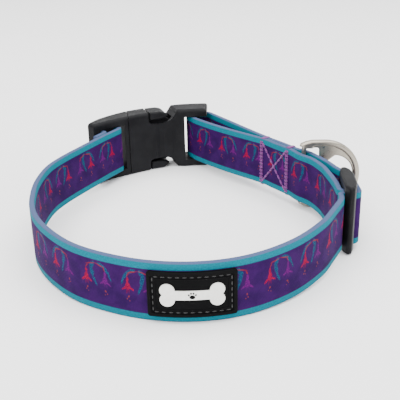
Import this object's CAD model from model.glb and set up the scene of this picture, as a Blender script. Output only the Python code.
"""Visual model of the dog collar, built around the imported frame.

Plan sizes are millimetres: +X right, +Y to the back, +Z up. ORIGIN is the plan point at the frame's origin.
"""

import math

import bmesh
import bpy
from mathutils import Matrix, Vector

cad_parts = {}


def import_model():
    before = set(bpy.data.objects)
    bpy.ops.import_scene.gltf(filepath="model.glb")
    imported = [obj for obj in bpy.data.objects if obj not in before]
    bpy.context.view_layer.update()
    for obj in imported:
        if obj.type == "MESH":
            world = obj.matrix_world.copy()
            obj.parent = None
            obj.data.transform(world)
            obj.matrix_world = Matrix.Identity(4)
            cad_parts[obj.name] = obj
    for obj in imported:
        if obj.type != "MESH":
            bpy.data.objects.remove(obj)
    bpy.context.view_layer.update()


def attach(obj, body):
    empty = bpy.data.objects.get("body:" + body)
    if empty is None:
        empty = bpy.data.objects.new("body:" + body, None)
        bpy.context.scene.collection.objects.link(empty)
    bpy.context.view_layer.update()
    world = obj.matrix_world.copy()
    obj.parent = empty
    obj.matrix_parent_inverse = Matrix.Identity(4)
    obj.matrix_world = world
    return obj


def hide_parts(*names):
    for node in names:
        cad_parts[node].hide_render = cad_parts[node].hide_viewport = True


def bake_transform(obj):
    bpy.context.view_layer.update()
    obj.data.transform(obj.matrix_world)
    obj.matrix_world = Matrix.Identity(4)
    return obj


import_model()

MM = 0.001
ORIGIN = (3.86, -0.71)
WEB_WIDTH = 25.0
WEB_THICK = 2.4
STRIPE = 2.9  # the plain coloured edge of the print
CLUSTER = 18.2  # length of one cluster of the print
PRINT_START = 3.4  # the print's run at the sewn end
SHARP_WEBBING_EDGE = 65.0  # degrees
HINGE = (51.3, -60.0)
BUCKLE_CENTRE = (4.0, 9.9)
LABEL_X = (-17.6, 14.9)
LABEL_Z = (3.0, 22.0)
RING_PIVOT = (54.0, 15.2)
RING_ANGLE = -1.5
RING_MIDDLE_Z = 17.8
RING_HALF = 17.7
RING_SLOT = 13.9


def world(x, y, z):
    return Vector(((x - ORIGIN[0]) * MM, (y - ORIGIN[1]) * MM, z * MM))


def polar(angle, radius):
    turn = math.radians(angle)
    return BUCKLE_CENTRE[0] + radius * math.cos(turn), BUCKLE_CENTRE[1] + radius * math.sin(turn)


# ---------------------------------------------------------------- lines in plan


def smooth_line(points, step=1.6):
    """A Catmull-Rom curve through the points (x, y, lift), sampled about every step."""
    first = [2 * a - b for a, b in zip(points[0], points[1])]
    last = [2 * a - b for a, b in zip(points[-1], points[-2])]
    ends = [first, *points, last]
    line = []
    for i in range(1, len(ends) - 2):
        a, b, c, d = ends[i - 1 : i + 3]
        count = max(1, round(math.dist(b[:2], c[:2]) / step))
        for k in range(count):
            t = k / count
            line.append(
                tuple(
                    0.5
                    * (
                        2 * q
                        + (r - p) * t
                        + (2 * p - 5 * q + 4 * r - s) * t * t
                        + (3 * q - p - 3 * r + s) * t**3
                    )
                    for p, q, r, s in zip(a, b, c, d)
                )
            )
    line.append(tuple(points[-1]))
    return line


def filleted(corners, lift, sides=8):
    """A line through corners (x, y, radius), each turned by an arc of its radius, all at one lift."""
    line = []
    for i, (x, y, radius) in enumerate(corners):
        here = Vector((x, y))
        if radius == 0 or i in (0, len(corners) - 1):
            line.append((x, y, lift))
            continue
        back = (Vector(corners[i - 1][:2]) - here).normalized()
        onward = (Vector(corners[i + 1][:2]) - here).normalized()
        half = back.angle(onward) / 2
        reach = radius / math.tan(half)
        centre = here + (back + onward).normalized() * (radius / math.sin(half))
        start = here + back * reach - centre
        turn = (here + onward * reach - centre).angle_signed(start)
        for k in range(sides + 1):
            point = centre + Matrix.Rotation(turn * k / sides, 2) @ start
            line.append((point.x, point.y, lift))
    return line


def densified(line, step=1.6):
    """The line with no stretch longer than about step."""
    dense = []
    for a, b in zip(line, line[1:]):
        count = max(1, math.ceil(math.dist(a[:2], b[:2]) / step))
        dense += [tuple(p + (q - p) * k / count for p, q in zip(a, b)) for k in range(count)]
    return [*dense, line[-1]]


def strap_lines():
    """The whole webbing as one run, in the stretches that ride on different bodies.

    Each stretch starts at the station where the one before it ends.
    """
    lift = 3.2
    sewn = [(66.0, -21.8, 0), (68.95, -21.8, 1.9), (68.95, -30.8, 1.9), (63.5, -30.8, 1.9)]
    sewn = densified(filleted([*sewn, (63.5, -22.0, 30.0), (62.9, -14.8, 0)], lift))
    inner_all = smooth_line(
        [
            (62.9, -14.8, lift),
            (61.9, -8.0, 3.4),
            (60.6, -1.5, 3.6),
            (57.0, 7.2, 4.0),
            (52.0, 13.1, 4.3),
            (48.6, 19.7, 4.5),
            (44.4, 25.5, 4.6),
            (40.3, 31.1, 4.7),
            (36.1, 36.9, 4.7),
            (20.2, 52.7, 4.7),
            (9.7, 64.2, 4.7),
            (1.4, 74.6, 4.7),
        ]
    )
    fold = [(1.4, 74.6, 0), (-3.35, 82.8, 8.0), (-3.35, 87.5, 2.2), (8.1, 87.6, 4.0)]
    fold = densified(filleted([*fold, (10.5, 83.7, 0)], 4.7))
    outer_all = smooth_line(
        [
            (10.5, 83.7, 4.7),
            (19.4, 69.3, 4.7),
            (29.3, 53.0, 4.7),
            (38.4, 38.6, 4.7),
            (42.6, 32.8, 4.7),
            (46.7, 27.2, 4.6),
            (50.9, 21.4, 4.5),
            (55.9, 17.2, 4.3),
            (59.9, 10.4, 4.1),
            (63.9, 2.7, 3.8),
            (66.4, -3.6, 3.5),
            (69.6, -9.4, lift),
        ]
    )
    woven = [(69.6, -9.4, 0), (71.7, -13.6, 4.0), (71.7, -33.6, 2.6), (62.9, -33.6, 1.9)]
    woven = densified(filleted([*woven, (63.05, -37.6, 9.0), (62.4, -40.4, 0)], lift))
    front_all = smooth_line(
        [
            (62.4, -40.4, lift),
            (57.9, -48.8, 2.7),
            (*HINGE, 2.0),
            (39.7, -72.5, 1.0),
            (26.0, -81.9, 0.4),
            (12.5, -87.0, 0.05),
            (-2.2, -88.8, 0.0),
            (-16.8, -87.0, 0.0),
            (-30.5, -82.2, 0.1),
            (-44.3, -74.5, 0.3),
            (-54.3, -65.2, 0.6),
            (-63.8, -51.9, 1.0),
            (-69.6, -38.3, 1.5),
            (-72.4, -22.1, 2.0),
            (-72.9, -8.0, 2.4),
            (-70.9, 7.0, 2.9),
            (-66.0, 18.9, 3.4),
            (-58.4, 31.9, 4.0),
            (-50.9, 43.4, 4.7),
        ]
    )
    tail = [(148.4, 64.3, 0), (142.0, 65.1, 40.0), (136.6, 66.1, 40.0), (131.4, 67.8, 2.4)]
    tail += [(131.5, 75.3, 2.0), (139.6, 75.3, 2.0), (139.7, 68.5, 1.7), (143.5, 67.8, 0)]
    tail += [(147.4, 67.3, 0)]
    tail = densified(filleted([(*polar(a, r), bend) for a, r, bend in tail], 4.7))

    def split(line, point):
        near = min(range(len(line)), key=lambda i: math.dist(line[i][:2], point))
        return line[: near + 1], line[near:]

    inner_flex, inner = split(inner_all, (60.6, -1.5))
    outer, outer_flex = split(outer_all, (63.9, 2.7))
    front_flex, rest = split(front_all, (56.8, -51.0))
    bend, free = split(rest, (45.5, -67.5))
    return {
        "strap_sewn_end": sewn,
        "strap_inner_flex": inner_flex,
        "strap_back": inner + fold[1:] + outer[1:],
        "strap_outer_flex": outer_flex,
        "strap_through_slider": woven,
        "strap_front_flex": front_flex,
        "strap_opening_bend": bend,
        "strap_free": free + tail[1:],
    }


def section(width, thick, ease=0.5, chamfer=0.14):
    """The webbing's cross-section as (offset, height), round its outline, with eased corners."""
    half = thick / 2
    side = [(half, ease), *((half, width * share) for share in (0.25, 0.5, 0.75)), (half, width - ease)]
    top = [(half - chamfer, width - chamfer), (half - ease, width)]
    left = [(-n, h) for n, h in [*side, *top][::-1]]
    foot = [(-(half - chamfer), chamfer), (-(half - ease), 0.0)]
    return side + top + left + foot + [(-n, h) for n, h in foot[::-1]]


def mesh_object(name, bm):
    """Turns a bmesh into an object of that name in the scene."""
    mesh = bpy.data.meshes.new(name)
    bm.to_mesh(mesh)
    bm.free()
    obj = bpy.data.objects.new(name, mesh)
    bpy.context.scene.collection.objects.link(obj)
    return obj


def strap_mesh(name, line, start, ends=(None, None)):
    """Webbing along the line as a closed body, with its run in millimetres kept in the UV map.

    ends are the headings of the neighbouring stretches, so that the sections meet exactly.
    """
    bm = bmesh.new()
    uv = bm.loops.layers.uv.new("run")
    outline = section(WEB_WIDTH, WEB_THICK)
    count = len(outline)
    rows = []
    lengths = []
    at = start
    for i, (x, y, lift) in enumerate(line):
        before = line[i - 1] if i else (ends[0] or line[i])
        after = line[i + 1] if i < len(line) - 1 else (ends[1] or line[i])
        heading = Vector((after[0] - before[0], after[1] - before[1])).normalized()
        across = Vector((-heading.y, heading.x))
        if i:
            at += math.dist(line[i - 1][:2], (x, y))
        lengths.append(at)
        base = max(lift, 0.0)
        rows.append([bm.verts.new(world(x + across.x * n, y + across.y * n, base + h)) for n, h in outline])
    for i in range(len(rows) - 1):
        for k in range(count):
            j = (k + 1) % count
            face = bm.faces.new((rows[i][k], rows[i + 1][k], rows[i + 1][j], rows[i][j]))
            face.smooth = True
            heights = (outline[k][1], outline[k][1], outline[j][1], outline[j][1])
            runs = (lengths[i], lengths[i + 1], lengths[i + 1], lengths[i])
            for loop, run, height in zip(face.loops, runs, heights):
                loop[uv].uv = (run, height)
    for row, flip in ((rows[0], False), (rows[-1], True)):
        cap = bm.faces.new(row[::-1] if flip else row)
        for loop, (_, height) in zip(cap.loops, outline[::-1] if flip else outline):
            loop[uv].uv = (lengths[-1] if flip else lengths[0], 0.1)
    bmesh.ops.recalc_face_normals(bm, faces=bm.faces)
    obj = mesh_object(name, bm)
    obj.data.set_sharp_from_angle(angle=math.radians(SHARP_WEBBING_EDGE))
    return obj, at


# ---------------------------------------------------------------- materials


class Nodes:
    """Short names for building a node tree."""

    def __init__(self, name):
        self.material = bpy.data.materials.new(name)
        self.material.use_nodes = True
        self.tree = self.material.node_tree
        self.shader = self.tree.nodes["Principled BSDF"]

    def add(self, kind, **settings):
        node = self.tree.nodes.new(kind)
        for key, value in settings.items():
            setattr(node, key, value)
        return node

    def put(self, socket, value):
        if isinstance(value, bpy.types.NodeSocket):
            self.tree.links.new(value, socket)
        else:
            socket.default_value = value

    def math(self, operation, a, b=0.0, c=0.0):
        node = self.add("ShaderNodeMath", operation=operation)
        for socket, value in zip(node.inputs, (a, b, c)):
            self.put(socket, value)
        return node.outputs[0]

    def ramp(self, value, low, high, to_low=0.0, to_high=1.0, smooth=True):
        node = self.add("ShaderNodeMapRange")
        node.interpolation_type = "SMOOTHSTEP" if smooth else "LINEAR"
        for socket, given in zip(node.inputs, (value, low, high, to_low, to_high)):
            self.put(socket, given)
        return node.outputs[0]

    def mix(self, factor, a, b):
        node = self.add("ShaderNodeMix", data_type="RGBA")
        self.put(node.inputs[0], factor)
        for socket, value in ((node.inputs[6], a), (node.inputs[7], b)):
            self.put(socket, (*value, 1.0) if isinstance(value, tuple) else value)
        return node.outputs[2]

    def noise(self, vector, scale, detail=2.0, roughness=0.5):
        node = self.add("ShaderNodeTexNoise")
        node.inputs["Scale"].default_value = scale
        node.inputs["Detail"].default_value = detail
        node.inputs["Roughness"].default_value = roughness
        if vector is not None:
            self.put(node.inputs["Vector"], vector)
        return node

    def bump(self, height, strength, distance, below=None):
        node = self.add("ShaderNodeBump")
        node.inputs["Strength"].default_value = strength
        node.inputs["Distance"].default_value = distance
        self.put(node.inputs["Height"], height)
        if below is not None:
            self.put(node.inputs["Normal"], below)
        return node.outputs[0]

    def ellipse(self, vector, centre, radii, angle, soft=0.25):
        """1 inside an ellipse and 0 outside, with a soft edge."""
        node = self.add("ShaderNodeMapping", vector_type="TEXTURE")
        self.put(node.inputs["Vector"], vector)
        node.inputs["Location"].default_value = (*centre, 0)
        node.inputs["Rotation"].default_value = (0, 0, math.radians(angle))
        node.inputs["Scale"].default_value = (*radii, 1)
        length = self.add("ShaderNodeVectorMath", operation="LENGTH")
        self.put(length.inputs[0], node.outputs[0])
        return self.ramp(length.outputs["Value"], 1.0 + soft, 1.0 - soft)

    def most(self, masks):
        found = masks[0]
        for mask in masks[1:]:
            found = self.math("MAXIMUM", found, mask)
        return found


def srgb(r, g, b):
    """An 8-bit screen colour as linear values."""
    return tuple((c / 255 / 12.92) if c <= 10 else ((c / 255 + 0.055) / 1.055) ** 2.4 for c in (r, g, b))


PURPLE_DARK, PURPLE = srgb(34, 6, 58), srgb(44, 10, 68)
PLUM = srgb(54, 12, 72)
CRIMSON_DARK, CRIMSON = srgb(88, 2, 46), srgb(148, 2, 48)
MAGENTA_DARK, MAGENTA = srgb(58, 6, 74), srgb(92, 6, 92)
LEAF_DARK, LEAF = srgb(12, 32, 70), srgb(8, 74, 96)
BROWN = srgb(84, 54, 46)
ORANGE = srgb(116, 44, 34)
STEM = srgb(110, 28, 34)
SPECK = srgb(110, 24, 90)
TEAL_DARK, TEAL = srgb(0, 90, 106), srgb(0, 106, 121)
CUT_EDGE_DARK, CUT_EDGE = srgb(52, 64, 96), srgb(80, 94, 124)
SCUFF = srgb(70, 70, 72)


def webbing_material():
    """Sublimation-printed webbing: plain teal edges, a purple field and repeating clusters of flowers."""
    m = Nodes("printed_webbing")
    uv = m.add("ShaderNodeUVMap", uv_map="run").outputs[0]
    parts = m.add("ShaderNodeSeparateXYZ")
    m.put(parts.inputs[0], uv)
    run, height = parts.outputs[0], parts.outputs[1]

    wobble = m.noise(uv, 0.55, 2.0)
    shift = m.add("ShaderNodeVectorMath", operation="MULTIPLY_ADD")
    m.put(shift.inputs[0], wobble.outputs["Color"])
    shift.inputs[1].default_value = (1.0, 0.8, 0.0)
    shift.inputs[2].default_value = (-0.5, -0.4, 0.0)
    moved = m.add("ShaderNodeVectorMath", operation="ADD")
    m.put(moved.inputs[0], uv)
    m.put(moved.inputs[1], shift.outputs[0])
    loose = m.add("ShaderNodeSeparateXYZ")
    m.put(loose.inputs[0], moved.outputs[0])
    x_run, y = loose.outputs[0], loose.outputs[1]

    cell = m.math("FLOOR", m.math("DIVIDE", x_run, CLUSTER))
    x = m.math("SUBTRACT", x_run, m.math("MULTIPLY", m.math("ADD", cell, 0.5), CLUSTER))
    odd = m.math("PINGPONG", cell, 1.0)
    side = m.math("SUBTRACT", 1.0, m.math("MULTIPLY", odd, 2.0))
    leaf_x = m.math("MULTIPLY", x, side)
    bloom_x = m.math("SUBTRACT", m.math("ABSOLUTE", x), 4.3)

    def plane(first):
        node = m.add("ShaderNodeCombineXYZ")
        m.put(node.inputs[0], first)
        m.put(node.inputs[1], y)
        return node.outputs[0]

    leaf_at, bloom_at = plane(leaf_x), plane(bloom_x)
    leaves = m.most(
        [
            m.ellipse(leaf_at, (-2.9, 20.3), (2.0, 0.75), 24),
            m.ellipse(leaf_at, (-5.0, 18.4), (1.9, 0.72), 55),
            m.ellipse(leaf_at, (-6.3, 16.0), (1.9, 0.42), 72),
            m.ellipse(leaf_at, (1.4, 19.5), (1.9, 0.85), -62),
            m.ellipse(leaf_at, (1.5, 16.8), (2.2, 0.85), 80),
            m.ellipse(leaf_at, (0.6, 13.3), (2.6, 0.5), 68),
        ]
    )
    stems = m.most(
        [
            m.ellipse(bloom_at, (-2.2, 20.1), (2.1, 0.26), -14, 0.4),
            m.ellipse(bloom_at, (-0.4, 18.8), (1.0, 0.24), -62, 0.4),
        ]
    )
    blooms = m.most(
        [
            m.ellipse(bloom_at, (0.0, 16.2), (0.48, 1.6), 0),
            m.ellipse(bloom_at, (0.0, 13.9), (0.95, 1.6), 0),
            m.ellipse(bloom_at, (-1.1, 13.1), (1.6, 0.45), 38),
            m.ellipse(bloom_at, (1.15, 12.9), (1.7, 0.45), -42),
        ]
    )
    skirt = m.most(
        [
            m.ellipse(bloom_at, (-0.35, 12.1), (0.35, 1.3), -10, 0.35),
            m.ellipse(bloom_at, (0.45, 11.9), (0.35, 1.3), 10, 0.35),
        ]
    )
    dots = m.most(
        [
            m.ellipse(bloom_at, (-0.1, 9.3), (0.32, 0.5), 10, 0.4),
            m.ellipse(bloom_at, (0.5, 8.2), (0.24, 0.3), 0, 0.4),
            m.ellipse(bloom_at, (-0.5, 7.6), (0.2, 0.26), 0, 0.4),
        ]
    )
    haze = m.most(
        [
            m.ellipse(bloom_at, (0.0, 13.5), (2.6, 3.2), 0, 0.5),
            m.ellipse(leaf_at, (-1.5, 17.5), (6.5, 4.2), 10, 0.6),
        ]
    )

    grain = m.noise(uv, 1.6, 4.0, 0.6).outputs[0]
    veins = m.noise(moved.outputs[0], 2.6, 2.0, 0.6).outputs[0]
    cloud = m.noise(uv, 0.16, 3.0).outputs[0]
    field = m.mix(m.ramp(cloud, 0.35, 0.65), PURPLE_DARK, PURPLE)
    field = m.mix(m.math("MULTIPLY", haze, 0.3), field, PLUM)
    second_bell = m.ramp(x, 0.2, -0.2)
    petal = m.mix(second_bell, CRIMSON, MAGENTA)
    petal_dark = m.mix(second_bell, CRIMSON_DARK, MAGENTA_DARK)
    flower = m.mix(m.ramp(veins, 0.42, 0.62), petal_dark, petal)
    leaf = m.mix(m.ramp(veins, 0.40, 0.60), LEAF_DARK, LEAF)
    leaf = m.mix(m.math("MULTIPLY", m.ramp(grain, 0.58, 0.7), 0.6), leaf, BROWN)
    colour = m.mix(m.math("MULTIPLY", skirt, 0.6), field, petal_dark)
    colour = m.mix(m.math("MULTIPLY", dots, 0.75), colour, ORANGE)
    colour = m.mix(m.math("MULTIPLY", leaves, 0.9), colour, leaf)
    colour = m.mix(m.math("MULTIPLY", stems, 0.85), colour, STEM)
    colour = m.mix(blooms, colour, flower)
    colour = m.mix(m.ramp(grain, 0.66, 0.8, 0.0, 0.25), colour, SPECK)

    up = m.math("SUBTRACT", WEB_WIDTH / 2, m.math("ABSOLUTE", m.math("SUBTRACT", height, WEB_WIDTH / 2)))
    stripe = m.ramp(up, STRIPE + 0.14, STRIPE - 0.14)
    teal = m.mix(m.ramp(grain, 0.3, 0.7), TEAL_DARK, TEAL)
    colour = m.mix(stripe, colour, teal)
    edge = m.ramp(up, 0.42, 0.2)
    fibre = m.noise(uv, 3.0, 3.0, 0.7).outputs[0]
    colour = m.mix(edge, colour, m.mix(fibre, CUT_EDGE_DARK, CUT_EDGE))
    m.put(m.shader.inputs["Base Color"], colour)

    rib = m.add("ShaderNodeTexWave", wave_type="BANDS", bands_direction="DIAGONAL")
    m.put(rib.inputs["Vector"], uv)
    rib.inputs["Scale"].default_value = 0.42
    rib.inputs["Distortion"].default_value = 0.6
    cross = m.add("ShaderNodeTexWave", wave_type="BANDS", bands_direction="X")
    m.put(cross.inputs["Vector"], uv)
    cross.inputs["Scale"].default_value = 0.5
    weave = m.math("MULTIPLY", rib.outputs[1], cross.outputs[1])
    low = m.bump(weave, 0.35, 0.00012)
    m.put(m.shader.inputs["Normal"], m.bump(fibre, 0.25, 0.0001, low))
    m.put(m.shader.inputs["Roughness"], m.ramp(grain, 0.2, 0.8, 0.62, 0.82, False))
    m.shader.inputs["Specular IOR Level"].default_value = 0.06
    return m.material


def plastic_material(name, dark, light, rough):
    """Moulded acetal: a fine spark-eroded grain, with faint paler scuffs."""
    m = Nodes(name)
    at = m.add("ShaderNodeTexCoord").outputs["Object"]
    grain = m.noise(at, 2600.0, 2.0).outputs[0]
    wide = m.noise(at, 90.0, 3.0).outputs[0]
    scuffed = m.ramp(m.noise(at, 420.0, 5.0, 0.7).outputs[0], 0.6, 0.75)
    colour = m.mix(m.ramp(wide, 0.35, 0.65), dark, light)
    m.put(m.shader.inputs["Base Color"], m.mix(m.math("MULTIPLY", scuffed, 0.12), colour, SCUFF))
    m.put(m.shader.inputs["Roughness"], m.ramp(wide, 0.3, 0.7, rough - 0.05, rough + 0.06, False))
    m.put(m.shader.inputs["Normal"], m.bump(grain, 0.18, 0.00008))
    m.shader.inputs["Specular IOR Level"].default_value = 0.07
    return m.material


def nickel_material():
    """Satin nickel over a casting: warm grey, with soft mottling and fine scratches."""
    m = Nodes("satin_nickel_cast")
    at = m.add("ShaderNodeTexCoord").outputs["Object"]
    wide = m.noise(at, 240.0, 4.0, 0.6).outputs[0]
    stretch = m.add("ShaderNodeMapping")
    m.put(stretch.inputs[0], at)
    stretch.inputs["Scale"].default_value = (1.0, 1.0, 9.0)
    fine = m.noise(stretch.outputs[0], 900.0, 2.0).outputs[0]
    m.put(m.shader.inputs["Base Color"], m.mix(wide, srgb(132, 126, 115), srgb(176, 169, 156)))
    m.put(m.shader.inputs["Roughness"], m.ramp(wide, 0.3, 0.7, 0.24, 0.4, False))
    m.put(m.shader.inputs["Normal"], m.bump(fine, 0.12, 0.00005, m.bump(wide, 0.15, 0.0002)))
    m.shader.inputs["Metallic"].default_value = 1.0
    return m.material


def rubber_material():
    """Soft black rubber with a fine matt grain."""
    m = Nodes("label_rubber_soft")
    at = m.add("ShaderNodeTexCoord").outputs["Object"]
    grain = m.noise(at, 1500.0, 3.0).outputs[0]
    wide = m.noise(at, 160.0, 2.0).outputs[0]
    m.put(m.shader.inputs["Base Color"], m.mix(wide, srgb(3, 3, 4), srgb(6, 6, 7)))
    m.put(m.shader.inputs["Roughness"], m.ramp(wide, 0.3, 0.7, 0.55, 0.7, False))
    m.put(m.shader.inputs["Normal"], m.bump(grain, 0.3, 0.0001))
    m.shader.inputs["Specular IOR Level"].default_value = 0.06
    return m.material


def emblem_material():
    """White rubber, slightly mottled."""
    m = Nodes("emblem_white_rubber")
    at = m.add("ShaderNodeTexCoord").outputs["Object"]
    grain = m.noise(at, 900.0, 3.0).outputs[0]
    m.put(m.shader.inputs["Base Color"], m.mix(grain, srgb(218, 216, 210), srgb(240, 240, 236)))
    m.put(m.shader.inputs["Roughness"], m.ramp(grain, 0.3, 0.7, 0.5, 0.66, False))
    m.put(m.shader.inputs["Normal"], m.bump(grain, 0.2, 0.0001))
    return m.material


def thread_material(name, dark, light):
    """Twisted thread: fine diagonal plies along each stitch."""
    m = Nodes(name)
    at = m.add("ShaderNodeTexCoord").outputs["Object"]
    ply = m.add("ShaderNodeTexWave", wave_type="BANDS", bands_direction="DIAGONAL")
    m.put(ply.inputs["Vector"], at)
    ply.inputs["Scale"].default_value = 520.0
    ply.inputs["Distortion"].default_value = 1.0
    m.put(m.shader.inputs["Base Color"], m.mix(ply.outputs[1], dark, light))
    fuzz = m.noise(at, 2200.0, 2.0).outputs[0]
    m.put(m.shader.inputs["Roughness"], m.ramp(fuzz, 0.3, 0.7, 0.45, 0.65, False))
    m.put(m.shader.inputs["Normal"], m.bump(ply.outputs[1], 0.5, 0.0001))
    m.shader.inputs["Sheen Weight"].default_value = 0.2
    return m.material


WEBBING = webbing_material()
PLASTIC = plastic_material("black_acetal_grained", srgb(20, 20, 22), srgb(26, 26, 28), 0.44)
SLIDER_PLASTIC = plastic_material("black_acetal_smooth", srgb(18, 18, 20), srgb(24, 24, 26), 0.4)
NICKEL = nickel_material()
RUBBER = rubber_material()
EMBLEM = emblem_material()
THREAD = thread_material("magenta_thread_twist", srgb(76, 8, 82), srgb(118, 24, 122))
BLACK_THREAD = thread_material("black_thread_twist", srgb(6, 6, 7), srgb(20, 20, 21))


def dress(obj, finish):
    """Gives the object this one material."""
    obj.data.materials.clear()
    obj.data.materials.append(finish)
    return obj


# ---------------------------------------------------------------- webbing


def build_straps():
    """The strap's stretches: some ride on one body, and some bend between two."""
    lines = strap_lines()
    names = list(lines)
    bodies = {
        "strap_sewn_end": ("slider_block", ["webbing_sewn_loop"]),
        "strap_back": ("collar_back", ["webbing_inner", "webbing_outer", "webbing_socket_fold"]),
        "strap_through_slider": ("slider_block", ["webbing_slider_pass"]),
        "strap_free": ("free_strap", ["webbing_front", "webbing_left", "webbing_plug_fold"]),
    }
    blends = {
        "strap_inner_flex": ("slider_block", "collar_back", ["webbing_inner_flex"]),
        "strap_outer_flex": ("collar_back", "slider_block", ["webbing_outer_flex"]),
        "strap_front_flex": ("slider_block", "collar_back", ["webbing_front_flex"]),
        "strap_opening_bend": ("collar_back", "free_strap", []),
    }
    run = PRINT_START
    for i, name in enumerate(names):
        line = lines[name]
        before = lines[names[i - 1]][-2] if i else None
        after = lines[names[i + 1]][1] if i + 1 < len(names) else None
        obj, run = strap_mesh(name, line, run, (before, after))
        dress(obj, WEBBING)
        if name in bodies:
            body, nodes = bodies[name]
            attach(obj, body)
        else:
            first, second, nodes = blends[name]
            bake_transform(obj)
        if nodes:
            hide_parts(*nodes)


# ---------------------------------------------------------------- solid outlines


def wound(ring, way):
    """The outline turning left (way 1) or right (way -1)."""
    area = sum(a[0] * b[1] - b[0] * a[1] for a, b in zip(ring, [*ring[1:], ring[0]]))
    return list(ring) if area * way > 0 else list(ring)[::-1]


def plate(outline, thickness, holes=(), round_off=0.0, steps=2):
    """A filled outline in XY, centred on its own mid-plane, with rounded edges, as a mesh object."""
    curve = bpy.data.curves.new("outline", "CURVE")
    curve.dimensions = "2D"
    curve.fill_mode = "BOTH"
    curve.extrude = (thickness / 2 - round_off) * MM
    if round_off:
        curve.bevel_depth = round_off * MM
        curve.bevel_resolution = steps
        curve.offset = -round_off * MM
    for ring in (wound(outline, 1), *(wound(hole, -1) for hole in holes)):
        spline = curve.splines.new("POLY")
        spline.points.add(len(ring) - 1)
        spline.use_cyclic_u = True
        for point, (x, y) in zip(spline.points, ring):
            point.co = (x * MM, y * MM, 0, 1)
    holder = bpy.data.objects.new("outline", curve)
    bpy.context.scene.collection.objects.link(holder)
    graph = bpy.context.evaluated_depsgraph_get()
    mesh = bpy.data.meshes.new_from_object(holder.evaluated_get(graph))
    bpy.data.objects.remove(holder, do_unlink=True)
    bm = bmesh.new()
    bm.from_mesh(mesh)
    bmesh.ops.remove_doubles(bm, verts=bm.verts, dist=1e-6)
    bmesh.ops.recalc_face_normals(bm, faces=bm.faces)
    bm.to_mesh(mesh)
    bm.free()
    obj = bpy.data.objects.new("plate", mesh)
    bpy.context.scene.collection.objects.link(obj)
    return obj


def slab(outline, low, high, holes=(), round_off=0.0, steps=2):
    """A plate lying between two heights, from an outline in plan."""
    def move(ring):
        return [(x - ORIGIN[0], y - ORIGIN[1]) for x, y in ring]

    obj = plate(move(outline), high - low, [move(ring) for ring in holes], round_off, steps)
    obj.data.transform(Matrix.Translation((0, 0, (high + low) / 2 * MM)))
    return obj


def upright(outline, thickness, foot, angle, holes=(), round_off=0.0, steps=2):
    """A plate standing on edge: its outline is (along, height), and it leaves foot at this angle."""
    obj = plate(outline, thickness, holes, round_off, steps)
    turn = Matrix.Rotation(math.radians(angle), 4, "Z") @ Matrix.Rotation(math.pi / 2, 4, "X")
    obj.data.transform(Matrix.Translation(world(*foot, 0)) @ turn)
    return obj


def rounded(points, radius, sides=5):
    """A closed outline with every corner rounded."""
    ring = []
    for i, point in enumerate(points):
        here = Vector(point)
        back = Vector(points[i - 1]) - here
        onward = Vector(points[(i + 1) % len(points)]) - here
        half = back.angle(onward) / 2
        limit = min(back.length, onward.length) * 0.48
        reach = min(radius / math.tan(half), limit)
        bend = reach * math.tan(half)
        if bend < 0.05 or half > math.radians(87):
            ring.append(tuple(here))
            continue
        centre = here + (back.normalized() + onward.normalized()).normalized() * (bend / math.sin(half))
        start = here + back.normalized() * reach - centre
        turn = (here + onward.normalized() * reach - centre).angle_signed(start)
        for k in range(sides + 1):
            ring.append(tuple(centre + Matrix.Rotation(turn * k / sides, 2) @ start))
    return ring


def carve(obj, other, operation="DIFFERENCE"):
    """An exact Boolean with another mesh object, applied at once; the other object is removed."""
    step = obj.modifiers.new("boolean", "BOOLEAN")
    step.operation = operation
    step.solver = "EXACT"
    step.object = other
    graph = bpy.context.evaluated_depsgraph_get()
    mesh = bpy.data.meshes.new_from_object(obj.evaluated_get(graph))
    obj.modifiers.clear()
    obj.data = mesh
    bpy.data.objects.remove(other, do_unlink=True)
    return obj


def ease_edges(obj, width, angle=40.0, segments=2):
    """Rounds the remaining hard edges and shades the result smoothly, applied at once."""
    bm = bmesh.new()
    bm.from_mesh(obj.data)
    bmesh.ops.remove_doubles(bm, verts=bm.verts, dist=2e-5)
    bmesh.ops.dissolve_limit(bm, angle_limit=math.radians(0.3), verts=bm.verts, edges=bm.edges)
    bm.to_mesh(obj.data)
    bm.free()
    obj.data.shade_smooth()
    bevel = obj.modifiers.new("ease", "BEVEL")
    bevel.width = width * MM
    bevel.segments = segments
    bevel.limit_method = "ANGLE"
    bevel.angle_limit = math.radians(angle)
    even = obj.modifiers.new("even", "WEIGHTED_NORMAL")
    even.weight = 50
    graph = bpy.context.evaluated_depsgraph_get()
    mesh = bpy.data.meshes.new_from_object(obj.evaluated_get(graph))
    obj.modifiers.clear()
    obj.data = mesh
    return obj


def arc_band(angles, radii, step=2.0):
    """An outline in plan between two angles and two radii about the buckle's centre."""
    def run(radius, reverse):
        count = max(2, math.ceil(abs(angles[1] - angles[0]) / step) + 1)
        points = []
        for k in range(count):
            share = k / (count - 1)
            points.append(polar(angles[0] + (angles[1] - angles[0]) * share, radius))
        return points[::-1] if reverse else points

    return run(radii[0], False) + run(radii[1], True)


def polar_line(pairs, step=1.5):
    """Points along straight runs in polar space, so that the line curves with the buckle."""
    line = []
    for (a0, r0), (a1, r1) in zip(pairs, pairs[1:]):
        count = max(1, math.ceil(abs(a1 - a0) / step))
        for k in range(count):
            line.append(polar(a0 + (a1 - a0) * k / count, r0 + (r1 - r0) * k / count))
    line.append(polar(*pairs[-1]))
    return line


def adopt(obj, name, finish, slot, body, *nodes):
    """Names a finished piece, dresses it, and puts it on its body in place of CAD nodes."""
    obj.name = name
    obj.data.name = name
    dress(obj, finish)
    if nodes:
        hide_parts(*nodes)
    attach(obj, body)
    return obj


# ---------------------------------------------------------------- buckle and slider

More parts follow.
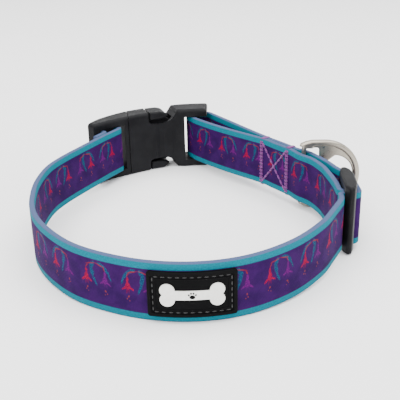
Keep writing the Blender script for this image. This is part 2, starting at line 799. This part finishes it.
HEIGHT = 34.4
RAIL = 4.3  # above and below every opening
SHELL = (67.9, 80.5)  # inner and outer radius of the closed middle
BLOCK = (66.9, 81.0)  # of the socket's heavier end
CORNER = 1.9  # rounding of the moulded outer edges
CLEAR = (55.0, 90.0)  # radii well past both faces, for cutters
MOUTH = (126.6, 122.3)  # angle of the joint at the inner and the outer face
MOUTH_GAP = 0.27
MIDDLE_RADIUS = 74.2
WINDOW_ANGLE = 109.0
END_SLOT = (137.7, 141.4)
PRESS_SLOT = (128.5, 133.7)
BAR_ANGLES = (133.2, 138.2)
BAR_RADII = (70.2, 73.6)
TONGUE = (125.5, 114.5)
TONGUE_RADII = (72.1, 76.3)
TONGUE_HEIGHTS = (13.2, 21.2)
CHANNEL = (130.0, 101.2)
CHANNEL_RADII = (70.5, 77.7)
SOCKET_OPENING = (98.2, 80.0)
PRONG_ENDS = (123.1, 104.6)
PRONG_RADIUS = 74.5
PRONG_THICK = 4.0
BUTTON_WIDTH = 11.6


def mouth_cutter(shift, side):
    """A block that trims a body flush with the slanting joint: side 1 takes the socket's half away."""
    near = Vector(polar(MOUTH[0] - shift, SHELL[0]))
    far = Vector(polar(MOUTH[1] - shift, SHELL[1]))
    along = (far - near).normalized() * 14
    away = Vector((along.y, -along.x)) * side
    corners = [near - along, far + along, far + along + away, near - along + away]
    return slab([tuple(c) for c in corners], -2.0, HEIGHT + 2.0)


def build_plug():
    """The male half: its frame, the bar that holds the webbing, and its tongue."""
    inner = polar_line([(144.3, 71.6), (143.3, 70.4), (137.0, 69.7), (129.0, 68.3), (120.6, SHELL[0])])
    outer = polar_line([(116.3, SHELL[1]), (124.0, 80.4), (137.0, 78.8), (143.3, 76.9), (144.3, 75.8)])
    body = slab(inner + outer, 0.0, HEIGHT, (), CORNER, 5)
    carve(body, mouth_cutter(0.0, 1))
    low, high = RAIL, HEIGHT - RAIL
    for slot in (END_SLOT, PRESS_SLOT):
        carve(body, slab(arc_band(slot, CLEAR), low, high))
    for radii in ((CLEAR[0], BAR_RADII[0]), (BAR_RADII[1], CLEAR[1])):
        carve(body, slab(arc_band(BAR_ANGLES, radii), low, high))
    carve(body, slab(arc_band(TONGUE, TONGUE_RADII), *TONGUE_HEIGHTS), "UNION")
    ease_edges(body, 0.3)
    adopt(body, "plug_frame", PLASTIC, "black_acetal", "free_strap", "buckle_plug")


def tangent_plate(profile, side, width, round_off=0.0, steps=3):
    """A plate square to the buckle's wall, from (angle, height) pairs for the top (side 1) or bottom (-1)."""
    reach = math.radians(1.0) * MIDDLE_RADIUS
    outline = []
    for angle, height in profile:
        at = height if side > 0 else HEIGHT - height
        outline.append(((WINDOW_ANGLE - angle) * reach, at))
    foot = polar(WINDOW_ANGLE, MIDDLE_RADIUS)
    return upright(outline, width, foot, WINDOW_ANGLE - 90.0, (), round_off, steps)


def eased_line(points, step=0.8):
    """A smooth run through (angle, height) pairs."""
    return [(a, h) for a, h, _ in smooth_line([(a, h, 0.0) for a, h in points], step)]


def build_socket():
    """The female half: a hollow body with a window above and below, and the bar at its end."""
    step = [(100.6, 67.6), (102.5, SHELL[0]), (132.0, SHELL[0])]
    inner = polar_line([(87.3, BLOCK[0]), (99.2, BLOCK[0]), *step])
    step = [(128.0, SHELL[1]), (102.5, SHELL[1]), (100.6, 80.8)]
    outer = polar_line([*step, (99.2, BLOCK[1]), (87.3, BLOCK[1])])
    body = slab(inner + outer, 0.0, HEIGHT, (), CORNER, 5)
    carve(body, mouth_cutter(MOUTH_GAP, -1))
    low, high = RAIL, HEIGHT - RAIL
    carve(body, slab(arc_band(CHANNEL, CHANNEL_RADII), low, high))
    dip = [(115.1, 28.9), (114.3, 27.9), (112.7, 27.5), (109.0, 27.4), (106.8, 27.7), (105.4, 28.6)]
    dip += [(104.2, 30.1), (103.1, 32.1), (102.3, 34.0), (101.8, 36.0)]
    window = [(115.4, 36.0), (115.2, 31.0), *eased_line(dip)]
    for side in (1, -1):
        carve(body, tangent_plate(window, side, 30.0))
    carve(body, slab(arc_band(SOCKET_OPENING, CLEAR), low, high))
    bar = rounded([(0.1, 80.4), (3.2, 80.0), (3.2, 85.8), (-1.5, 85.8), (-1.5, 83.1)], 0.9, 3)
    carve(body, slab(bar, low - 1.0, high + 1.0), "UNION")
    ease_edges(body, 0.45, 40.0, 3)
    adopt(body, "socket_frame", PLASTIC, "black_acetal", "collar_back", "buckle_socket")


def build_prongs():
    """Each prong: a spring arm with a thumb button that fills its window and slopes off at its end."""
    foot, tip = (polar(angle, PRONG_RADIUS) for angle in PRONG_ENDS)
    heading = math.degrees(math.atan2(tip[1] - foot[1], tip[0] - foot[0]))
    length = math.dist(foot, tip)
    middle = HEIGHT / 2
    crest = eased_line([(109.8, 34.1), (107.9, 33.5), (106.7, 32.4), (106.1, 31.3)])
    button = [(114.5, 29.6), (114.5, 34.1), (112.2, 34.15), *crest, (107.0, 30.5), (109.4, 29.6)]
    for name, side in (("upper", 1), ("lower", -1)):
        arm = [(0.0, 8.6), (0.0, 11.6), (10.0, 12.2), (length - 3.0, 12.6), (length, 10.6)]
        arm = [(along, middle + side * h) for along, h in [*arm, (length - 0.6, 9.4)]]
        prong = upright(arm, PRONG_THICK, foot, heading, (), 0.5)
        carve(prong, tangent_plate(button, side, BUTTON_WIDTH, 1.3, 4), "UNION")
        ease_edges(prong, 0.2)
        node = "prong_" + name
        adopt(prong, "button_" + name, PLASTIC, "black_acetal", name + "_button", node)


SLIDER_SPAN = (-39.6, -13.0)
SLIDER_HEIGHTS = (0.2, 32.2)
SLIDER_RAIL = 2.8
SLIDER_OPENING = 25.6
SLIDER_SLOTS = ((-35.2, -29.2), (-23.4, -17.9))
SLIDER_BAR = (-30.2, -22.4)
SLIDER_CLEAR = (60.0, 75.0)  # from inside the collar to outside it, for cutters


def build_slider():
    """A frame of two rails and two end bars, with the middle bar set back between its slots."""
    near, far = SLIDER_SPAN
    inside, outside = SLIDER_CLEAR
    outline = [(66.2, near), (68.2, near), (69.5, near + 3.0), (70.9, near + 8.5), (71.5, -22.0)]
    outline += [(70.9, far - 3.0), (69.2, far), (66.8, far), (65.6, -17.5), (64.9, -26.0)]
    outline = rounded([*outline, (64.7, near + 3.5)], 3.0, 4)
    low = SLIDER_HEIGHTS[0] + SLIDER_RAIL
    high = low + SLIDER_OPENING
    body = slab(outline, *SLIDER_HEIGHTS, (), 1.3, 4)
    cuts = [((inside, outside), slot) for slot in SLIDER_SLOTS]
    cuts += [((69.9, outside), (near - 2, far + 2))]
    cuts += [((inside, 65.0), SLIDER_BAR), ((67.4, outside), SLIDER_BAR)]
    for (x0, x1), (y0, y1) in cuts:
        carve(body, slab([(x0, y0), (x1, y0), (x1, y1), (x0, y1)], low, high))
    ease_edges(body, 0.4, segments=3)
    adopt(body, "triglide_slider", SLIDER_PLASTIC, "black_acetal", "slider_block", "slider")


# ---------------------------------------------------------------- D-ring


def half_ellipse(start, middle, across, along, steps):
    """From the top round to the bottom, in (along, height)."""
    turns = [math.pi * k / steps for k in range(steps + 1)]
    return [(start + along * math.sin(a), middle + across * math.cos(a)) for a in turns]


def ring_outline(inset):
    """The casting's outline in (along, height), moved inwards."""
    mid = RING_MIDDLE_Z
    rim = half_ellipse(10.2, mid, RING_HALF - inset, RING_HALF - inset, 36)
    top = [(-1.0 + inset, RING_SLOT + 0.6), (-2.1 + inset, RING_SLOT + 0.9)]
    top += [(-1.6 + inset, RING_SLOT + 2.1 - inset), (0.8 + inset * 0.3, RING_SLOT + 3.1 - inset)]
    top += [(3.8, RING_HALF - inset)]
    outline = [(along, mid + up) for along, up in top]
    return [*outline, *rim, *((along, mid - up) for along, up in top[::-1])]


def build_ring():
    """A flat casting with a proud rounded rim, a recessed field and a smooth eye."""
    mid = RING_MIDDLE_Z
    reach = RING_SLOT
    slot = [(1.0, mid - reach), (1.0, mid + reach), (7.4, mid + reach), (7.8, mid), (7.4, mid - reach)]
    slot = rounded(slot, 1.2)
    eye = [(11.8, mid + 6.9), *half_ellipse(15.4, mid, 9.8, 9.0, 32), (11.8, mid - 6.9), (11.3, mid)]
    eye = rounded(eye, 1.6)
    field = upright(ring_outline(0.3), 2.1, RING_PIVOT, RING_ANGLE, (slot, eye), 0.7, 3)
    hollow = [(4.6, mid + 14.9), *half_ellipse(10.2, mid, 14.9, 14.7, 36), (4.6, mid - 14.9)]
    rim = upright(ring_outline(0.0), 3.4, RING_PIVOT, RING_ANGLE, (rounded(hollow, 1.2),), 1.15, 4)
    sides = [(-4.0, mid - reach), (-4.0, mid + reach), (4.9, mid + reach), (4.9, mid - reach)]
    for way in (1, -1):
        block = upright(sides, 3.0, RING_PIVOT, RING_ANGLE)
        away = Matrix.Rotation(math.radians(RING_ANGLE), 2) @ Vector((0, way * 2.4))
        block.data.transform(Matrix.Translation((away.x * MM, away.y * MM, 0)))
        carve(rim, block)
    carve(rim, upright(slot, 9.0, RING_PIVOT, RING_ANGLE))
    carve(rim, field, "UNION")
    ease_edges(rim, 0.12, 55.0)
    adopt(rim, "cast_ring", NICKEL, "satin_nickel", "leash_ring", "d_ring")


# ---------------------------------------------------------------- label

FRONT_CENTRE = (-2.2, -30.0)
FRONT_RADIUS = 58.8
FACE = WEB_THICK / 2


def bend_to_front(obj, pitch=1.6):
    """Wraps a flat piece, drawn with X along the strap from the label's middle and Y up, onto the front."""
    bm = bmesh.new()
    bm.from_mesh(obj.data)
    low = min(v.co.x for v in bm.verts)
    high = max(v.co.x for v in bm.verts)
    cuts = max(2, math.ceil((high - low) / (pitch * MM)))
    for k in range(1, cuts):
        geometry = [*bm.verts, *bm.edges, *bm.faces]
        bmesh.ops.bisect_plane(
            bm, geom=geometry, plane_co=(low + (high - low) * k / cuts, 0, 0), plane_no=(1, 0, 0)
        )
    middle = (LABEL_X[0] + LABEL_X[1]) / 2 - FRONT_CENTRE[0]
    for v in bm.verts:
        out = FRONT_RADIUS + FACE + v.co.z / MM
        turn = (middle + v.co.x / MM) / FRONT_RADIUS
        x = FRONT_CENTRE[0] + out * math.sin(turn)
        y = FRONT_CENTRE[1] - out * math.cos(turn)
        v.co = world(x, y, v.co.y / MM + (LABEL_Z[0] + LABEL_Z[1]) / 2)
    bmesh.ops.recalc_face_normals(bm, faces=bm.faces)
    bm.to_mesh(obj.data)
    bm.free()
    obj.data.shade_smooth()
    obj.data.set_sharp_from_angle(angle=math.radians(40))
    return obj


def raise_by(obj, height):
    """Moves a flat piece off its plane."""
    obj.data.transform(Matrix.Translation((0, 0, height * MM)))
    return obj


def box_ring(half_width, half_height, radius):
    """A rectangle with rounded corners."""
    corners = [(-half_width, -half_height), (half_width, -half_height)]
    return rounded([*corners, (half_width, half_height), (-half_width, half_height)], radius, 6)


def build_label():
    """The rubber label: raised border, sunk field, a bead inside the border, and its sewing."""
    wide, tall = 16.4, 9.5
    base = raise_by(plate(box_ring(wide, tall, 1.0), 1.0, (), 0.3), 0.65)
    border = plate(box_ring(wide, tall, 1.0), 1.5, (box_ring(wide - 1.5, tall - 1.5, 0.7),), 0.4, 3)
    carve(base, raise_by(border, 0.95), "UNION")
    bead = plate(box_ring(wide - 2.6, tall - 2.6, 0.8), 0.8, (box_ring(wide - 3.3, tall - 3.3, 0.5),), 0.3, 3)
    carve(base, raise_by(bead, 1.0), "UNION")
    bend_to_front(base)
    adopt(base, "label_base", RUBBER, "label_rubber", "free_strap", "label_patch")

    stitches = []
    across, up = wide - 2.05, tall - 2.05
    for length, fixed, flat in ((across, up, True), (up, across, False)):
        count = round(2 * length / 2.5)
        for way in (1, -1):
            for k in range(count):
                at = -length + 2 * length * (k + 0.5) / count
                stitches.append((at, way * fixed, flat) if flat else (way * fixed, at, flat))
    bm = bmesh.new()
    for x, y, flat in stitches:
        long, short = (0.85, 0.24) if flat else (0.24, 0.85)
        shape = Matrix.Translation((x * MM, y * MM, 1.22 * MM)) @ Matrix.Diagonal(
            (long * MM, short * MM, 0.2 * MM, 1)
        )
        bmesh.ops.create_uvsphere(bm, u_segments=8, v_segments=6, radius=1.0, matrix=shape)
    sewing = mesh_object("label_sewing", bm)
    bend_to_front(sewing, 40.0)
    adopt(sewing, "label_sewing", BLACK_THREAD, "label_rubber", "free_strap")


def disc(x, y, radius, steps=20, squeeze=1.0, lean=0.0):
    """A round outline, narrowed by squeeze and then turned by lean degrees."""
    turn = Matrix.Rotation(math.radians(lean), 2)
    ring = []
    for k in range(steps):
        a = math.tau * k / steps
        point = turn @ Vector((radius * math.cos(a) * squeeze, radius * math.sin(a)))
        ring.append((x + point.x, y + point.y))
    return ring


def build_emblem():
    """A generic raised bone with a paw print in it, in place of any mark."""
    reach, lobe = 9.0, 2.75
    bone = plate([(-reach, -1.9), (reach, -1.9), (reach, 1.9), (-reach, 1.9)], 0.7, (), 0.2)
    for x in (-reach, reach):
        for y in (-2.0, 2.0):
            carve(bone, plate(disc(x, y, lobe, 28), 0.7, (), 0.2), "UNION")
    raise_by(bone, 1.35)
    bend_to_front(bone)
    adopt(bone, "emblem_bone", EMBLEM, "emblem_white", "free_strap", "label_emblem")

    pads = [disc(0.0, -0.55, 0.82, 20, 1.25)]
    pads += [disc(-1.25, 0.35, 0.4, 14, 0.8, 20), disc(-0.45, 1.0, 0.42, 14, 0.8, 6)]
    pads += [disc(0.45, 1.0, 0.42, 14, 0.8, -6), disc(1.25, 0.35, 0.4, 14, 0.8, -20)]
    paw = None
    for ring in pads:
        pad = plate(ring, 0.5, (), 0.14)
        paw = pad if paw is None else carve(paw, pad, "UNION")
    raise_by(paw, 1.62)
    bend_to_front(paw)
    adopt(paw, "emblem_paw", RUBBER, "label_rubber", "free_strap")


# ---------------------------------------------------------------- stitching


SEAM_START = (36.1, 36.9)
SEAM_END = (47.4, 21.4)
SEAM_HEIGHTS = (5.6, 28.6)
TACK_HEIGHTS = (29.75, 4.5)
LAYER_PITCH = 2.85  # from the inner layer's middle to the outer one's


def stitch_bead(bm, start, end, radius=0.52):
    """One stitch: a short thread between two points, proud in its middle."""
    a, b = Vector(start), Vector(end)
    along = (b - a).normalized()
    reach = (b - a).length / 2
    spin = along.to_track_quat("X", "Z").to_matrix().to_4x4()
    scale = Matrix.Diagonal((reach, radius * MM, radius * MM, 1))
    shape = Matrix.Translation((a + b) / 2) @ spin @ scale
    bmesh.ops.create_uvsphere(bm, u_segments=8, v_segments=6, radius=1.0, matrix=shape)


def build_stitches():
    """Box-and-cross seam through both layers between the buckle and the D-ring."""
    first, last = Vector(SEAM_START), Vector(SEAM_END)
    along = (last - first).normalized()
    across = Vector((-along.y, along.x))
    length = (last - first).length
    low, high = SEAM_HEIGHTS
    face = WEB_THICK / 2

    def place(s, offset, z):
        p = first + along * s + across * offset
        return world(p.x, p.y, z)

    def finish(name, bm, node):
        obj = mesh_object(name, bm)
        obj.data.shade_smooth()
        adopt(obj, name, THREAD, "magenta_thread", "collar_back", node)

    rows, crosses = 12, 9
    for name, offset in (("inner", -face - 0.12), ("outer", LAYER_PITCH + face + 0.12)):
        bm = bmesh.new()
        for side in (0.0, length):
            for row in (-0.55, 0.55):
                for k in range(rows):
                    z = low + (high - low) * (k + 0.5) / rows
                    ends = [place(side + row, offset, at) for at in (z - 0.95, z + 0.95)]
                    stitch_bead(bm, *ends)
        for way in (1, -1):
            for k in range(crosses):
                ends = []
                for share in ((k - 0.04) / crosses, (k + 1.04) / crosses):
                    rise = share if way > 0 else 1 - share
                    z = low + 1 + (high - low - 2) * rise
                    ends.append(place(0.8 + (length - 1.6) * share, offset, z))
                stitch_bead(bm, *ends)
        finish("seam_" + name, bm, "cross_stitch_" + name)

    for name, side in (("left", 0.0), ("right", length)):
        bm = bmesh.new()
        for k in range(4):
            s = side + (k - 1.5) * 0.5
            for z in TACK_HEIGHTS:
                reach = face + 0.1
                stitch_bead(bm, place(s, -reach, z), place(s, LAYER_PITCH + reach, z), 0.3)
        finish("tack_" + name, bm, "bar_tack_" + name)


# ---------------------------------------------------------------- stage


def build_stage():
    """A floor that curves up into a wall behind the collar, in metres."""
    bm = bmesh.new()
    reach, rise, bend, back = 3.0, 2.0, 0.6, 1.2
    profile = [(-reach, 0.0), (back, 0.0)]
    profile += [(back + bend * math.sin(a), bend - bend * math.cos(a)) for a in (0.3, 0.7, 1.1, math.pi / 2)]
    profile += [(back + bend, rise)]
    rows = [(bm.verts.new((-reach, y, z)), bm.verts.new((reach, y, z))) for y, z in profile]
    for (a, b), (c, d) in zip(rows, rows[1:]):
        bm.faces.new((a, b, d, c)).smooth = True
    floor = mesh_object("floor", bm)
    m = Nodes("studio_white")
    at = m.add("ShaderNodeTexCoord").outputs["Object"]
    haze = m.noise(at, 3.0, 2.0).outputs[0]
    m.put(m.shader.inputs["Base Color"], m.mix(haze, (0.93, 0.93, 0.93), (0.95, 0.95, 0.95)))
    m.shader.inputs["Roughness"].default_value = 0.85
    m.shader.inputs["Specular IOR Level"].default_value = 0.1
    dress(floor, m.material)


def area_light(name, where, aim, size, power):
    """A rectangular softbox, in metres and watts, turned to its aim."""
    light = bpy.data.lights.new(name, "AREA")
    light.shape = "RECTANGLE"
    light.size, light.size_y = size
    light.energy = power
    obj = bpy.data.objects.new(name, light)
    bpy.context.scene.collection.objects.link(obj)
    obj.location = where
    obj.rotation_euler = (Vector(aim) - Vector(where)).to_track_quat("-Z", "Y").to_euler()


def build_lights():
    """A broad light above, two smaller ones, and an even white surround."""
    area_light("softbox_top", (0.0, 0.05, 1.1), (0, 0, 0), (1.6, 1.3), 32.0)
    area_light("softbox_front", (-0.35, -1.0, 0.75), (0, 0, 0), (0.9, 0.7), 12.0)
    area_light("softbox_right", (1.0, -0.2, 0.5), (0, 0, 0.02), (0.7, 0.7), 4.0)
    background = bpy.data.worlds.new("studio")
    bpy.context.scene.world = background
    background.use_nodes = True
    shader = background.node_tree.nodes["Background"]
    shader.inputs["Color"].default_value = (1.0, 1.0, 1.0, 1.0)
    shader.inputs["Strength"].default_value = 1.3


CAMERA_PLACE = (2.3, -324.5, 151.34)
CAMERA_LENS = 65.7
CAMERA_PITCH = 23.33  # degrees down
CAMERA_ROLL = -1.29


def build_camera():
    """A camera in front of the collar, looking down on it."""
    camera = bpy.data.cameras.new("camera")
    camera.lens = CAMERA_LENS
    camera.sensor_width = 36.0
    camera.clip_start = 0.01
    obj = bpy.data.objects.new("camera", camera)
    bpy.context.scene.collection.objects.link(obj)
    pitch, roll = math.radians(CAMERA_PITCH), math.radians(CAMERA_ROLL)
    place = Matrix.Translation(world(*CAMERA_PLACE))
    obj.matrix_world = place @ Matrix.Rotation(math.pi / 2 - pitch, 4, "X") @ Matrix.Rotation(roll, 4, "Z")
    bpy.context.scene.camera = obj


build_camera()
build_stage()
build_lights()
build_straps()
build_plug()
build_socket()
build_prongs()
build_slider()
build_ring()
build_label()
build_emblem()
build_stitches()
